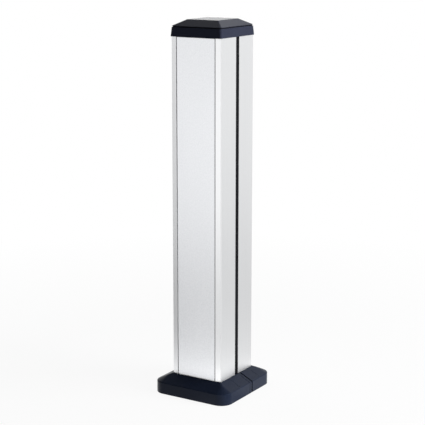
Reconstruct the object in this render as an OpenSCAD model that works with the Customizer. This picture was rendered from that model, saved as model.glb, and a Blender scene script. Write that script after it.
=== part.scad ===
// Double-sided service column for socket outlets, standing on a two-part base cover.
// Origin at floor level under the middle of the column. The two cover sides face -Y and +Y.

/* [Tower] */
// Height of the whole tower from the floor to the top of the cap
tower_h = 700; // [450:10:1200]
// Width of the column across its two plain sides
column_w = 106; // [100:1:130]
// Depth of the column from cover face to cover face
column_d = 115; // [108:1:150]

/* [Extrusion] */
// Wall of the extrusion
wall_t = 2.2; // [1.8:0.1:2.6]
// Web between the two channels
web_t = 2.4; // [2:0.2:4]
// How far each flange falls back from the cover face to its corner
flange_fall = 2; // [0.5:0.5:4]
// Radius of the four outer corners
column_corner_r = 2; // [1:0.5:2.5]
// Bevel that stiffens the inside of each corner
corner_bevel = 2.8; // [2:0.2:4]
// Width of the ledge that a cover's edge lies on
ledge_w = 2.55; // [1.6:0.05:3.2]
// Thickness of the wall that a cover snaps behind
return_t = 2; // [1.6:0.1:2.6]
// Depth of that wall behind the cover face
return_depth = 13; // [11:0.5:18]
// Depth of the hollow that the snap bead lies in
snap_groove_depth = 0.5; // [0.3:0.1:0.8]

/* [Side groove] */
// Width of the groove's mouth in each side
groove_mouth_w = 11; // [8:0.5:14]
// Width of the undercut behind the mouth
groove_inner_w = 16; // [14:0.5:20]
// Depth of the undercut
groove_depth = 6; // [5:0.5:9]
// Wall round the undercut
groove_wall_t = 2; // [1.6:0.1:3]

/* [Screw ports] */
// Bore of the screw ports
port_bore_d = 4.6; // [4:0.1:5]
// Wall round a screw port
port_wall_t = 2; // [1.6:0.1:2.6]
// Width of the slit along each screw port
port_slit_w = 2.2; // [1.6:0.1:3]
// Distance from a plain side to the port's axis
port_from_side = 7; // [6.5:0.1:9]
// Distance from the column's middle plane to the port's axis
port_from_middle = 34; // [28:0.5:37]

/* [Covers] */
// Width of a clip-on cover
cover_w = 80.5; // [76:0.5:82]
// Thickness of a cover's face
cover_t = 2; // [1.6:0.1:3]
// Groove that shows between a cover and a flange
cover_gap = 1.5; // [0.8:0.1:2.5]
// Space between a cover's edge and its ledge
seat_gap = 0.3; // [0.15:0.05:0.6]
// Thickness of a cover's snap leg
leg_t = 1.5; // [1.2:0.1:2]
// Depth of a snap leg behind the cover face
leg_depth = 12; // [10:0.5:16]
// Depth of the snap bead's middle behind the cover face
bead_depth = 10; // [8:0.5:14]
// Space between a snap leg and the wall it snaps behind
leg_gap = 1.2; // [0.8:0.1:1.6]
// Bevel along a cover's long front edges
cover_bevel = 0.4; // [0.2:0.1:0.8]
// Clear space above and below a cover
cover_end_gap = 0.5; // [0.3:0.1:1.5]

/* [Side strips] */
// Depth of a strip's face below the plain side
strip_recess = 0.3; // [0.1:0.1:1.2]
// Thickness of a strip's face
strip_t = 1.2; // [1:0.1:1.8]
// Clearance of a strip in its groove
strip_gap = 0.15; // [0.1:0.05:0.3]
// Thickness of a strip's legs
strip_leg_t = 1.2; // [1:0.1:1.6]
// Reach of a leg's barb behind the groove's lip
strip_barb = 0.7; // [0.4:0.1:1.2]
// Height of a barb
strip_barb_h = 1.2; // [0.8:0.1:1.8]

/* [Cap] */
// How far the cap stands out past the column
cap_overhang = 1.2; // [0.5:0.1:3]
// Height of the cap's upright wall
cap_wall_h = 19; // [14:0.5:26]
// Height of the whole cap
cap_h = 30; // [26:0.5:40]
// How far the cap's wall leans in over its height
cap_draft = 1.6; // [0.5:0.1:3]
// Width of the cap's flat top
cap_flat_w = 66; // [50:1:80]
// Depth of the cap's flat top
cap_flat_d = 70; // [50:1:90]
// Plan radius of the cap's corners
cap_corner_r = 4; // [2:0.5:8]
// Plan radius of the flat top's corners
cap_flat_r = 2; // [1:0.5:6]
// Wall of the cap
cap_t = 2.4; // [1.8:0.1:3]
// Width of a snap tongue under the cap
tongue_w = 10; // [6:0.5:14]
// Thickness of a snap tongue
tongue_t = 1.8; // [1.4:0.1:2.4]
// Height of a snap tongue's bead
tongue_bead = 1; // [0.6:0.1:1.4]
// Distance of a snap tongue from the middle, across
tongue_x = 20; // [14:1:26]
// Distance of a snap tongue from the middle, towards the covers
tongue_y = 45; // [40:0.5:46]

/* [Cap carrier] */
// Thickness of the carrier
carrier_t = 3; // [2.4:0.1:4]
// Clearance between carrier and cap
carrier_gap = 0.4; // [0.3:0.1:0.8]
// Width of the carrier's open middle
carrier_window_w = 64; // [40:1:70]
// Depth of the carrier's open middle
carrier_window_d = 62; // [40:1:70]
// Corner radius of the carrier's open middle
carrier_window_r = 5; // [2:0.5:10]

/* [Base cover] */
// How far the base cover reaches past the column on every side
base_reach = 28; // [20:0.5:40]
// Height of the base cover where it meets the column
base_h = 35; // [28:0.5:50]
// Height of its upright wall
base_wall_h = 22; // [16:0.5:26]
// Plan radius of its corners
base_corner_r = 23; // [12:0.5:30]
// Rounding between its wall and its slope
base_edge_r = 2; // [1:0.5:4]
// Wall of the base cover
base_t = 2.4; // [1.8:0.1:3.2]
// Clearance between base cover and column
base_gap = 0.4; // [0.3:0.1:1]
// Flat rim of the base cover round the column
base_rim = 0.8; // [0.5:0.1:2]
// How far behind the column's middle plane the two halves meet
split_from_middle = 11.5; // [-20:0.5:20]
// Gap between the two halves
split_gap = 0.8; // [0.4:0.1:1.6]
// Width and depth of the shallow step along each side of the gap
split_step = 0.5; // [0.2:0.1:1]
// Width of the lip that the front half lays along the gap
lip_w = 8; // [4:0.5:10]
// Width of the shadow lines scored into the halves
score_w = 0.9; // [0.6:0.1:1.5]
// Depth of the shadow lines
score_depth = 0.7; // [0.4:0.1:1]
// Length of the break-out panel in each side slope
breakout_l = 71; // [40:1:76]
// How far behind the column's middle plane that panel's middle lies
breakout_from_middle = 5.5; // [-6:0.5:6]
// Distance of the break-out panel from the column
breakout_from_column = 7; // [4:0.5:12]
// Reach of a joint bracket behind each half's wall
joint_reach = 8; // [5:0.5:14]
// Thickness of a joint bracket
joint_t = 1.6; // [1.2:0.1:2.4]
// Length of a joint bracket's foot on the floor plate
joint_foot_l = 9; // [6:0.5:12]
// Thickness of the ribs that seat the halves against the floor plate
base_rib_t = 1.6; // [1.2:0.1:2.4]
// Height of those ribs
base_rib_h = 16; // [8:0.5:18]

/* [Floor plate] */
// Thickness of the rubber pad
pad_t = 2; // [1:0.5:4]
// How far the pad's edge lies inside the plate's edge
pad_inset = 1; // [0.5:0.5:3]
// Thickness of the steel plate
plate_t = 4; // [3:0.5:8]
// Space between the plate's edge and the base cover's wall
plate_margin = 2.6; // [1.5:0.1:4]
// Distance between the floor holes' middles across the plate
floor_hole_pitch_x = 130; // [126:0.5:136]
// Distance between the floor holes' middles along the plate
floor_hole_pitch_y = 120; // [90:1:124]
// Width of a slotted floor hole
floor_hole_w = 7; // [5.5:0.5:9]
// Length of a slotted floor hole
floor_hole_l = 11; // [9:0.5:13]
// Width of a cable window
window_w = 56; // [30:1:60]
// Depth of a cable window
window_d = 34; // [20:1:36]
// Distance of a cable window from the column's middle plane
window_from_middle = 10; // [8:0.5:12]
// Corner radius of a cable window
window_r = 5; // [3:0.5:10]

/* [Cable bushes] */
// Wall of a cable bush
bush_t = 1.6; // [1.2:0.1:2.4]
// Width of a cable bush's flange
bush_flange_w = 2.4; // [1.5:0.1:3]
// Thickness of its flange
bush_flange_t = 1.2; // [0.8:0.1:2]
// Clearance of a bush in its window
bush_gap = 0.1; // [0.05:0.05:0.3]

/* [Cable clamps] */
// Clear width under a cable clamp
clamp_span = 30; // [20:1:40]
// Clear height under a cable clamp
clamp_rise = 12; // [8:0.5:18]
// Thickness of a clamp
clamp_t = 3; // [2:0.25:5]
// Width of a clamp along the column
clamp_w = 12; // [8:0.5:20]
// Length of a clamp's foot
clamp_foot_l = 11; // [9:0.5:14]
// Height of the front clamp above the floor plate
clamp_up = 110; // [90:1:150]
// Height of the rear clamp above the front one
clamp_step = 24; // [16:1:40]

/* [Earth terminal] */
// Height of the earth terminal above the floor plate
earth_up = 64; // [40:1:80]
// Diameter of the earth bolt
earth_bolt_d = 4.9; // [4:0.1:6]
// Width across flats of its head and nut
earth_flats = 8; // [8:0.5:11]
// Height of its head
earth_head_h = 3.5; // [2.5:0.1:5]
// Height of its nut
earth_nut_h = 4; // [3:0.1:5]
// How far the bolt passes its nut
earth_bolt_past = 2; // [1:0.5:5]
// Diameter of the washers
washer_d = 11; // [9:0.5:14]
// Thickness of the washers
washer_t = 0.8; // [0.5:0.1:1.5]
// Width of an earth tab's foot
tab_foot_w = 12; // [10:0.5:16]
// Width of an earth tab's blade
tab_blade_w = 6.3; // [4.8:0.1:8]
// Length of an earth tab's blade
tab_blade_l = 14; // [8:0.5:18]
// Thickness of an earth tab
tab_t = 0.8; // [0.5:0.1:1.2]

/* [Screws] */
// Running clearance of a screw in its hole, on the radius
screw_fit = 0.05; // [0.02:0.01:0.1]
// Clearance of a screw in a free hole, on the radius
screw_clear = 0.25; // [0.15:0.05:0.5]
// How far a screw reaches into its port
port_screw_reach = 18; // [12:1:24]
// Head diameter of the port screws
port_head_d = 8; // [7:0.1:8.6]
// Head height of the port screws
port_head_h = 2.6; // [2:0.1:3]
// Width across corners of a screw's drive socket
drive_d = 3.4; // [2.5:0.1:4]
// Diameter of the clamp screws
clamp_screw_d = 3.9; // [3:0.1:4.5]
// Head diameter of the clamp screws
clamp_head_d = 7; // [6:0.1:8]
// Head height of the clamp screws
clamp_head_h = 2.4; // [1.8:0.1:3]
// How far a clamp screw reaches past the web
clamp_screw_past = 2; // [1:0.5:4]

/* [Hidden] */

// Overrun of every cut past the face that it opens
cut = 1;
// Thickness of the sheets that the hulls are drawn round
sheet = 0.02;
// Smoothness of turned shapes and of moulded corners
turned_fn = 48;
moulded_fn = 32;
// Steps of the rounding between the base's wall and slope
edge_steps = 3;
// Bite of a rib or a bead into the wall that carries it
bite = 0.2;
// Clearance at the tip of a snap bead
bead_tip_gap = 0.1;
// Seating clearance between parts that only lie together
seat = 0.3;

// Heights
plate_z = pad_t;
column_z = pad_t + plate_t;
column_top = tower_h - cap_h;
column_h = column_top - column_z;
cover_z = base_h + cover_end_gap;
cover_h = column_top - cover_end_gap - cover_z;

// The extrusion's section
half_w = column_w / 2;
half_d = column_d / 2;
flange_x = cover_w / 2 + cover_gap;
flange_slope = flange_fall / (half_w - flange_x);
flange_stretch = sqrt(1 + flange_slope * flange_slope);
ledge_y = cover_t + seat_gap - half_d;
return_x = flange_x - ledge_w;
return_y = return_depth - half_d;
bevel_x = half_w - wall_t - corner_bevel;
groove_x = half_w - wall_t - groove_depth;
housing_x = groove_x - groove_wall_t;
housing_y = groove_inner_w / 2 + groove_wall_t;
port_x = half_w - port_from_side;
port_r = port_bore_d / 2;
port_outer_r = port_r + port_wall_t;
bead_r = leg_gap - bead_tip_gap;
leg_x = return_x - leg_gap;
screw_r = port_r - screw_fit;

// A line that lies the given depth behind the flange's face
function flange_y(x, depth) = flange_slope * (x - flange_x) - half_d + depth * flange_stretch;

corner_x = half_w - column_corner_r;
corner_y = flange_y(corner_x, column_corner_r);

// One quarter of the column's outline, grown outwards by the given amount
function quarter(grow) = let (r = column_corner_r + grow) [
    [flange_x, flange_y(flange_x, -grow)],
    [corner_x + r * flange_slope / flange_stretch, corner_y - r / flange_stretch],
    [half_w + grow, corner_y]
];
function turned_back(points) = [for (i = [len(points) - 1:-1:0]) points[i]];
function mirrored(points, sx, sy) = [for (p = points) [sx * p[0], sy * p[1]]];
function outline(grow) = let (q = quarter(grow)) concat(
    q,
    turned_back(mirrored(q, 1, -1)),
    mirrored(q, -1, -1),
    turned_back(mirrored(q, -1, 1))
);

// Places
corner_signs = [[1, 1], [-1, 1], [1, -1], [-1, -1]];
sides = [1, -1];

module at_corners(x, y) {
    for (c = corner_signs) translate([c[0] * x, c[1] * y]) children();
}

module to_both_covers() {
    children();
    mirror([0, 1, 0]) children();
}

module to_both_sides() {
    children();
    mirror([1, 0, 0]) children();
}

// A length of extrusion as long as the column, drawn longer at both ends by over
module bar(over = 0) {
    translate([0, 0, column_z - over]) linear_extrude(column_h + 2 * over) children();
}

module column_outline(grow) {
    polygon(outline(grow));
    at_corners(corner_x, -corner_y) circle(r = column_corner_r + grow, $fn = turned_fn);
}

module rounded_outline(w, d, r, fn) {
    square([w - 2 * r, d], center = true);
    square([w, d - 2 * r], center = true);
    at_corners(w / 2 - r, d / 2 - r) circle(r = r, $fn = fn);
}

// Corner band of the extrusion, in the quarter with +X and -Y
module corner_band() {
    q = quarter(0);
    polygon(concat(q, [
        [half_w, -groove_mouth_w / 2],
        [half_w - wall_t, -groove_mouth_w / 2],
        [half_w - wall_t, flange_y(half_w - wall_t, wall_t) + corner_bevel],
        [bevel_x, flange_y(bevel_x, wall_t)],
        [flange_x, flange_y(flange_x, wall_t)]
    ]));
    translate([corner_x, corner_y]) circle(r = column_corner_r, $fn = turned_fn);
}

// Stepped wall with the ledge for the cover's edge and the hollow for its bead
module cover_return() {
    groove_r = bead_r + bead_tip_gap;
    difference() {
        polygon([
            [flange_x, flange_y(flange_x, 0)],
            [flange_x + return_t, flange_y(flange_x + return_t, 0)],
            [flange_x + return_t, ledge_y + return_t],
            [return_x + return_t, ledge_y + return_t],
            [return_x + return_t, return_y],
            [return_x, return_y],
            [return_x, ledge_y],
            [flange_x, ledge_y]
        ]);
        translate([return_x + snap_groove_depth - groove_r, bead_depth - half_d])
            circle(r = groove_r, $fn = turned_fn);
    }
}

module groove_housing() {
    translate([housing_x, -housing_y]) square([half_w - housing_x, 2 * housing_y]);
}

module port_boss() {
    translate([port_x, -port_from_middle]) {
        circle(r = port_outer_r, $fn = turned_fn);
        translate([0, -port_outer_r / 2]) square([port_from_side - wall_t / 2, port_outer_r]);
    }
}

module groove_hollow() {
    translate([groove_x, -groove_inner_w / 2]) square([groove_depth, groove_inner_w]);
    translate([groove_x, -groove_mouth_w / 2])
        square([groove_depth + wall_t + cut, groove_mouth_w]);
}

module port_hollow() {
    translate([port_x, -port_from_middle]) {
        circle(r = port_r, $fn = turned_fn);
        translate([-port_outer_r - cut, -port_slit_w / 2])
            square([port_outer_r + cut, port_slit_w]);
    }
}

module web() {
    square([2 * housing_x + groove_wall_t, web_t], center = true);
}

// A round body that lies along Y, from y0 to y1
module along_y(x, y0, y1, z, r, fn = turned_fn) {
    translate([x, y1, z]) rotate([90, 0, 0]) cylinder(h = y1 - y0, r = r, $fn = fn);
}

module column_body() color([0.86, 0.87, 0.88]) {
    difference() {
        union() {
            to_both_sides() {
                to_both_covers() {
                    bar() corner_band();
                    bar() cover_return();
                    bar() port_boss();
                }
                bar() groove_housing();
            }
            bar() web();
        }
        to_both_sides() {
            to_both_covers() bar(cut) port_hollow();
            bar(cut) groove_hollow();
        }
        along_y(0, -web_t, web_t, column_z + earth_up, earth_bolt_d / 2 + screw_fit);
        for (s = sides) {
            along_y(s * clamp_screw_x, -web_t, web_t, clamp_z(-1), clamp_screw_d / 2 + screw_fit);
            along_y(s * clamp_screw_x, -web_t, web_t, clamp_z(1), clamp_screw_d / 2 + screw_fit);
        }
    }
}

module snap_leg() {
    translate([leg_x - leg_t, -half_d + cover_t - bite]) square([leg_t, leg_depth - cover_t + bite]);
    translate([leg_x, bead_depth - half_d]) circle(r = bead_r, $fn = turned_fn);
}

module cover_face() {
    edge = cover_w / 2;
    polygon([
        [-edge, cover_bevel - half_d], [cover_bevel - edge, -half_d],
        [edge - cover_bevel, -half_d], [edge, cover_bevel - half_d],
        [edge, cover_t - half_d], [-edge, cover_t - half_d]
    ]);
}

module cover() {
    translate([0, 0, cover_z]) linear_extrude(cover_h) cover_face();
    to_both_sides() translate([0, 0, cover_z]) linear_extrude(cover_h) snap_leg();
}

module front_cover() color([0.9, 0.91, 0.92]) cover();

module rear_cover() color([0.9, 0.91, 0.92]) mirror([0, 1, 0]) cover();

strip_x = half_w - strip_recess - strip_t;
strip_half_w = groove_mouth_w / 2 - strip_gap;
barb_x = half_w - wall_t - strip_gap;

module strip_face() {
    translate([strip_x, -strip_half_w]) square([strip_t, 2 * strip_half_w]);
}

// One leg of a strip, with a barb that lies behind the groove's lip
module strip_leg() {
    polygon([
        [strip_x + bite, strip_half_w - strip_leg_t],
        [strip_x + bite, strip_half_w],
        [barb_x, strip_half_w],
        [barb_x, strip_half_w + strip_barb],
        [barb_x - strip_barb_h, strip_half_w],
        [barb_x - strip_barb_h, strip_half_w - strip_leg_t]
    ]);
}

module side_strip() {
    bar() strip_face();
    to_both_covers() bar() strip_leg();
}

module right_side_strip() color([0.1, 0.1, 0.11]) side_strip();

module left_side_strip() color([0.1, 0.1, 0.11]) mirror([1, 0, 0]) side_strip();

// The cap, drawn from its own underside
cap_w = column_w + 2 * cap_overhang;
cap_d = column_d + 2 * cap_overhang;
cap_run = cap_d / 2 - cap_draft - cap_flat_d / 2;
cap_slope = (cap_h - cap_wall_h) / cap_run;
cap_stretch = sqrt(1 + cap_slope * cap_slope);

// One level of the cap's outline with the given wall taken off
module cap_level(w, d, r, z, wall) {
    translate([0, 0, z]) linear_extrude(sheet)
        rounded_outline(w - 2 * wall, d - 2 * wall, max(r - wall, sheet), moulded_fn);
}

module cap_shape(wall, low) {
    hull() {
        cap_level(cap_w, cap_d, cap_corner_r, low, wall);
        cap_level(cap_w - 2 * cap_draft, cap_d - 2 * cap_draft, cap_corner_r,
            cap_wall_h - sheet - wall * (cap_stretch - cap_slope), wall);
        cap_level(cap_flat_w, cap_flat_d, cap_flat_r, cap_h - sheet - wall, 0);
    }
}

// Height of the cap's inner roof at a distance from the middle, towards a cover side
function cap_roof_z(y) = cap_wall_h + cap_slope * (cap_d / 2 - cap_draft - y) - cap_t * cap_stretch;

// Snap tongue with a bead below the carrier and a rib out to the cap's wall
module cap_tongue() {
    low = -3 * tongue_bead;
    rib_y = tongue_y + tongue_t - bite;
    wall_y = cap_d / 2 - cap_t;
    translate([-tongue_w / 2, tongue_y, low])
        cube([tongue_w, tongue_t, cap_roof_z(tongue_y + tongue_t) + bite - low]);
    translate([-tongue_w / 2, tongue_y + tongue_t, low / 2]) rotate([0, 90, 0])
        cylinder(h = tongue_w, r = tongue_bead, $fn = turned_fn);
    translate([-tongue_t / 2, 0, 0]) rotate([90, 0, 90]) linear_extrude(tongue_t) polygon([
        [rib_y, 2 * carrier_t],
        [wall_y, 2 * carrier_t],
        [wall_y, cap_roof_z(wall_y) + bite],
        [rib_y, cap_roof_z(rib_y) + bite]
    ]);
}

module top_cap() color([0.12, 0.12, 0.13]) translate([0, 0, column_top]) {
    difference() {
        cap_shape(0, 0);
        cap_shape(cap_t, -cut);
    }
    for (s = sides) to_both_covers() translate([s * tongue_x, 0, 0]) cap_tongue();
}

// Frame on the column's cut end
module carrier_outline() {
    in = cap_t + carrier_gap + cap_draft * carrier_t / cap_wall_h;
    slot_d = tongue_t + tongue_bead + 2 * bead_tip_gap;
    difference() {
        rounded_outline(cap_w - 2 * in, cap_d - 2 * in, cap_corner_r, turned_fn);
        rounded_outline(carrier_window_w, carrier_window_d, carrier_window_r, turned_fn);
        at_corners(port_x, port_from_middle) circle(r = port_r + screw_clear, $fn = turned_fn);
        for (x = sides) for (y = sides) translate([x * tongue_x, y * (tongue_y - bead_tip_gap + slot_d / 2)])
            square([tongue_w + 2 * seat, slot_d], center = true);
    }
}

module cap_carrier() color([0.3, 0.3, 0.32]) {
    translate([0, 0, column_top]) linear_extrude(carrier_t) carrier_outline();
}

// Pan-head screw that hangs from z = 0 into the port below it
module pan_screw(head_d, head_h, shank_r, length) {
    difference() {
        union() {
            intersection() {
                cylinder(h = head_h, d = head_d, $fn = turned_fn);
                translate([0, 0, head_h - head_d]) sphere(r = head_d, $fn = turned_fn);
            }
            translate([0, 0, -length]) cylinder(h = length + bite, r = shank_r, $fn = turned_fn);
        }
        translate([0, 0, head_h / 3]) cylinder(h = head_h + cut, d = drive_d, $fn = 6);
    }
}

module cap_carrier_screws() color("silver") {
    translate([0, 0, column_top + carrier_t]) at_corners(port_x, port_from_middle)
        pan_screw(port_head_d, port_head_h, screw_r, carrier_t + port_screw_reach);
}

// The base cover. Its skin is one line from the floor up the wall, round the edge and up the slope.
base_w = column_w + 2 * base_reach;
base_d = column_d + 2 * base_reach;
slope_run = base_reach - base_gap - base_rim;
slope_angle = atan((base_h - base_wall_h) / slope_run);
edge_turn = 90 - slope_angle;
edge_z = base_wall_h - base_edge_r * tan(edge_turn / 2);

// Height of the slope at a distance in from the wall, at a depth below its surface
function slope_z(in, depth) = base_wall_h + in * tan(slope_angle) - depth / cos(slope_angle);

skin = concat(
    [[0, sheet]],
    [for (i = [0:edge_steps]) let (a = edge_turn * i / edge_steps)
        [base_edge_r * (1 - cos(a)), edge_z + base_edge_r * sin(a)]],
    [[slope_run, base_h]]
);
inner_skin = [[base_t, sheet - cut], [base_t, slope_z(base_t, base_t)], [slope_run, slope_z(slope_run, base_t)]];

module skin_shape(line) {
    hull() for (p = line) translate([0, 0, p[1] - sheet]) linear_extrude(sheet)
        rounded_outline(base_w - 2 * p[0], base_d - 2 * p[0],
            max(base_corner_r - p[0], column_corner_r + base_gap + base_rim), moulded_fn);
}

module base_shell() {
    difference() {
        skin_shape(skin);
        skin_shape(inner_skin);
        linear_extrude(base_h + cut) column_outline(base_gap);
    }
}

// Section of the side wall and slope between two depths below the skin
function skin_path(depth, low, end_in) = [
    [base_w / 2 - depth, low],
    [base_w / 2 - depth, slope_z(depth, depth)],
    [base_w / 2 - end_in, slope_z(end_in, depth)]
];

// The same band drawn along Y from y0 to y1, on both sides
module side_band(shallow, deep, y0, y1, low, end_in) {
    to_both_sides() translate([0, y1, 0]) rotate([90, 0, 0]) linear_extrude(y1 - y0)
        polygon(concat(skin_path(shallow, low, end_in), turned_back(skin_path(deep, low, end_in))));
}

module score(y) {
    side_band(-cut, score_depth, y - score_w / 2, y + score_w / 2, -cut, base_reach);
}

// Line down the slope alone, beside the break-out panel
module breakout_line(y) {
    to_both_sides() translate([0, y + score_w / 2, 0]) rotate([90, 0, 0]) linear_extrude(score_w)
        polygon([
            [base_w / 2, slope_z(0, score_depth)],
            [base_w / 2, base_h + cut],
            [half_w + breakout_from_column, base_h + cut],
            [half_w + breakout_from_column, slope_z(base_reach - breakout_from_column, score_depth)]
        ]);
}

// Ribs from the wall to the floor plate's edge, in the front and in both corners of one half
module seat_ribs() {
    reach = plate_margin + bite - seat;
    wall_y = base_d / 2 - base_t + bite;
    for (s = sides) {
        translate([s * base_w / 4 - base_rib_t / 2, -wall_y, seat]) cube([base_rib_t, reach, base_rib_h]);
        translate([s * (base_w / 2 - base_corner_r), base_corner_r - base_d / 2, seat])
            rotate([0, 0, s * 45 - 90]) translate([plate_r + seat, -base_rib_t / 2, 0])
            cube([reach, base_rib_t, base_rib_h]);
    }
}

// One half of the base cover, drawn towards -Y, with the split at y = split
module base_half(split, panel) {
    difference() {
        base_shell();
        translate([-base_w, split - split_gap / 2, -cut]) cube([2 * base_w, base_d, base_h + 2 * cut]);
        side_band(-cut, split_step, split - split_gap / 2 - split_step, split, -cut, base_reach);
        breakout_line(panel - breakout_l / 2);
    }
    seat_ribs();
}

module base_cover_front() color([0.1, 0.11, 0.13]) {
    difference() {
        base_half(split_from_middle, breakout_from_middle);
        score(split_from_middle - split_gap / 2 - lip_w);
    }
}

module base_cover_rear() color([0.1, 0.11, 0.13]) mirror([0, 1, 0]) {
    base_half(-split_from_middle, -breakout_from_middle);
}

// Angles that stand on the floor plate behind the split, one each side, and back both halves
module base_joint_brackets() color([0.6, 0.62, 0.64]) {
    inner = base_t + seat;
    y0 = split_from_middle - joint_reach;
    side_band(inner, inner + joint_t, y0, y0 + 2 * joint_reach, column_z, slope_run - 2 * base_rim);
    for (s = sides) translate([s * (base_w / 2 - inner - joint_foot_l / 2), y0 + joint_reach, column_z + joint_t / 2])
        cube([joint_foot_l, 2 * joint_reach, joint_t], center = true);
}

// Floor plate, pad and what goes through them
plate_w = base_w - 2 * (base_t + plate_margin);
plate_d = base_d - 2 * (base_t + plate_margin);
plate_r = base_corner_r - base_t - plate_margin;
window_y = window_from_middle + window_d / 2;
csk_h = port_head_d / 2 - screw_r;

module slot_outline(w, l) {
    square([l - w, w], center = true);
    for (s = sides) translate([s * (l - w) / 2, 0]) circle(d = w, $fn = turned_fn);
}

module plate_outline(in, hole_w, hole_l, window_grow) {
    difference() {
        rounded_outline(plate_w - 2 * in, plate_d - 2 * in, plate_r - in, turned_fn);
        at_corners(floor_hole_pitch_x / 2, floor_hole_pitch_y / 2) slot_outline(hole_w, hole_l);
        for (s = sides) translate([0, s * window_y])
            rounded_outline(window_w + 2 * window_grow, window_d + 2 * window_grow,
                window_r + window_grow, turned_fn);
    }
}

module base_plate() color([0.6, 0.62, 0.64]) translate([0, 0, plate_z]) {
    difference() {
        linear_extrude(plate_t) plate_outline(0, floor_hole_w, floor_hole_l, 0);
        at_corners(port_x, port_from_middle) {
            translate([0, 0, -cut])
                cylinder(h = plate_t + 2 * cut, r = screw_r + screw_clear, $fn = turned_fn);
            translate([0, 0, -sheet]) cylinder(h = csk_h + sheet, r1 = port_head_d / 2 + screw_fit,
                r2 = screw_r + screw_fit, $fn = turned_fn);
        }
    }
}

module floor_pad() color([0.2, 0.2, 0.2]) {
    linear_extrude(pad_t) difference() {
        plate_outline(pad_inset, floor_hole_w + 2 * pad_inset, floor_hole_l + 2 * pad_inset,
            bush_flange_w);
        at_corners(port_x, port_from_middle) circle(d = port_head_d + 2 * pad_inset, $fn = turned_fn);
    }
}

module column_screws() color("silver") {
    translate([0, 0, plate_z]) at_corners(port_x, port_from_middle) difference() {
        union() {
            cylinder(h = csk_h, r1 = port_head_d / 2, r2 = screw_r, $fn = turned_fn);
            cylinder(h = plate_t + port_screw_reach, r = screw_r, $fn = turned_fn);
        }
        translate([0, 0, -cut]) cylinder(h = cut + csk_h, d = drive_d, $fn = 6);
    }
}

module bush_ring(grow, t) {
    out = grow - bush_gap;
    linear_extrude(t) difference() {
        rounded_outline(window_w + 2 * out, window_d + 2 * out, window_r + out, turned_fn);
        rounded_outline(window_w - 2 * bush_t, window_d - 2 * bush_t, window_r - bush_t, turned_fn);
    }
}

module cable_bush() {
    translate([0, -window_y, 0]) {
        translate([0, 0, plate_z - bush_flange_t]) {
            bush_ring(0, plate_t + 2 * bush_flange_t);
            bush_ring(bush_flange_w / 2, bush_flange_t);
        }
        translate([0, 0, column_z]) bush_ring(bush_flange_w, bush_flange_t);
    }
}

module cable_bush_front() color([0.15, 0.15, 0.16]) cable_bush();

module cable_bush_rear() color([0.15, 0.15, 0.16]) mirror([0, 1, 0]) cable_bush();

// Saddle on the web, drawn for the channel towards -Y
clamp_screw_x = clamp_span / 2 + clamp_t + clamp_foot_l / 2;
function clamp_z(side) = column_z + clamp_up + (side > 0 ? clamp_step : 0);

module clamp_section() {
    far = clamp_span / 2 + clamp_t;
    height = clamp_rise + clamp_t;
    difference() {
        union() {
            translate([-far - clamp_foot_l, 0]) square([2 * (far + clamp_foot_l), clamp_t]);
            translate([0, height / 2]) square([2 * (far - clamp_t), height], center = true);
            translate([-far, 0]) square([2 * far, height - clamp_t]);
            for (s = sides) translate([s * (far - clamp_t), height - clamp_t])
                circle(r = clamp_t, $fn = turned_fn);
        }
        translate([-clamp_span / 2, -cut]) square([clamp_span, clamp_rise + cut]);
    }
}

module cable_clamp() {
    difference() {
        translate([0, -web_t / 2, -clamp_w / 2]) linear_extrude(clamp_w) mirror([0, 1]) clamp_section();
        for (s = sides) along_y(s * clamp_screw_x, -web_t - clamp_t - cut, 0, 0,
            clamp_screw_d / 2 + screw_clear);
    }
}

module cable_clamp_front() color([0.25, 0.25, 0.27]) {
    translate([0, 0, clamp_z(-1)]) cable_clamp();
}

module cable_clamp_rear() color([0.25, 0.25, 0.27]) {
    translate([0, 0, clamp_z(1)]) mirror([0, 1, 0]) cable_clamp();
}

module clamp_screw() {
    translate([0, -web_t / 2 - clamp_t, 0]) rotate([90, 0, 0])
        pan_screw(clamp_head_d, clamp_head_h, clamp_screw_d / 2, clamp_t + web_t + clamp_screw_past);
}

module clamp_screws() color("silver") {
    for (x = sides) {
        translate([x * clamp_screw_x, 0, clamp_z(-1)]) clamp_screw();
        translate([x * clamp_screw_x, 0, clamp_z(1)]) mirror([0, 1, 0]) clamp_screw();
    }
}

// Earth terminal through the web, stacked outwards from it
earth_z = column_z + earth_up;
washer_y = web_t / 2 + washer_t;
tab_y = washer_y + tab_t;
earth_head_d = earth_flats / cos(30);
earth_bolt_r = earth_bolt_d / 2;

module earth_bolt() color("silver") {
    along_y(0, -tab_y - earth_head_h, -tab_y, earth_z, earth_head_d / 2, 6);
    along_y(0, -tab_y - bite, tab_y + earth_nut_h + earth_bolt_past, earth_z, earth_bolt_r);
}

module earth_nut() color("silver") {
    difference() {
        along_y(0, tab_y, tab_y + earth_nut_h, earth_z, earth_head_d / 2, 6);
        along_y(0, tab_y - cut, tab_y + earth_nut_h + cut, earth_z, earth_bolt_r + screw_fit);
    }
}

module earth_washers() color([0.8, 0.8, 0.78]) {
    to_both_covers() difference() {
        along_y(0, web_t / 2, washer_y, earth_z, washer_d / 2);
        along_y(0, 0, washer_y + cut, earth_z, earth_bolt_r + screw_fit);
    }
}

module earth_tab() {
    foot = tab_foot_w / 2;
    difference() {
        translate([-foot, washer_y, earth_z - foot]) cube([tab_foot_w, tab_t, 2 * tab_foot_w]);
        along_y(0, 0, tab_y + cut, earth_z, earth_bolt_r + screw_fit);
        for (s = sides) translate([s > 0 ? tab_blade_w / 2 : -foot - cut, 0, earth_z + foot])
            cube([foot + cut - tab_blade_w / 2, tab_y + cut, 2 * tab_foot_w]);
    }
    translate([-tab_blade_w / 2, washer_y, earth_z + 3 * foot - tab_t])
        cube([tab_blade_w, tab_blade_l, tab_t]);
}

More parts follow.
